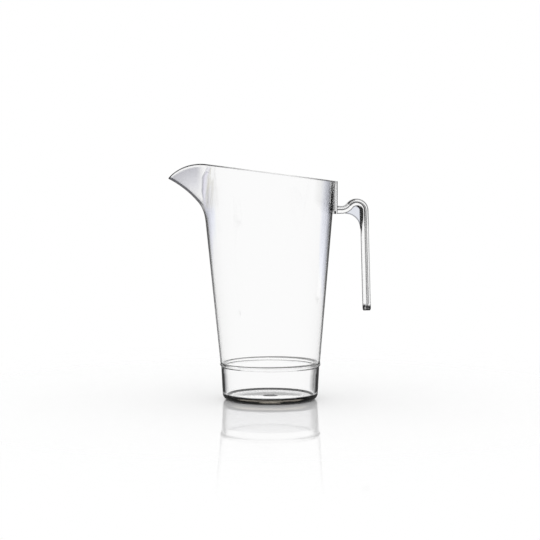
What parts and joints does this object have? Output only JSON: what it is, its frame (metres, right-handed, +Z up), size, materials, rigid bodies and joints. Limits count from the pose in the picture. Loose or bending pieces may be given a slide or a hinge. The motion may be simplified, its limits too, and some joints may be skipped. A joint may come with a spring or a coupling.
{
  "type": "beer pitcher",
  "caption": "Clear plastic beer pitcher with a flared body, a separate base cup, a beak pouring spout and a hook handle open at its lower end.",
  "frame": {"origin": "on the table plane, at the centre of the base cup", "axes": "+Z up, -X towards the pouring spout, +X towards the handle"},
  "size_m": [0.2135, 0.1428, 0.2485],
  "materials": {
    "clear_body": "clear gloss",
    "clear_base": "clear gloss",
    "clear_spout": "clear gloss",
    "clear_handle": "clear gloss"
  },
  "bodies": {
    "root": {"base_cup": "clear_base", "body_shell": "clear_body", "pour_spout": "clear_spout", "handle": "clear_handle"}
  },
  "joints": []
}
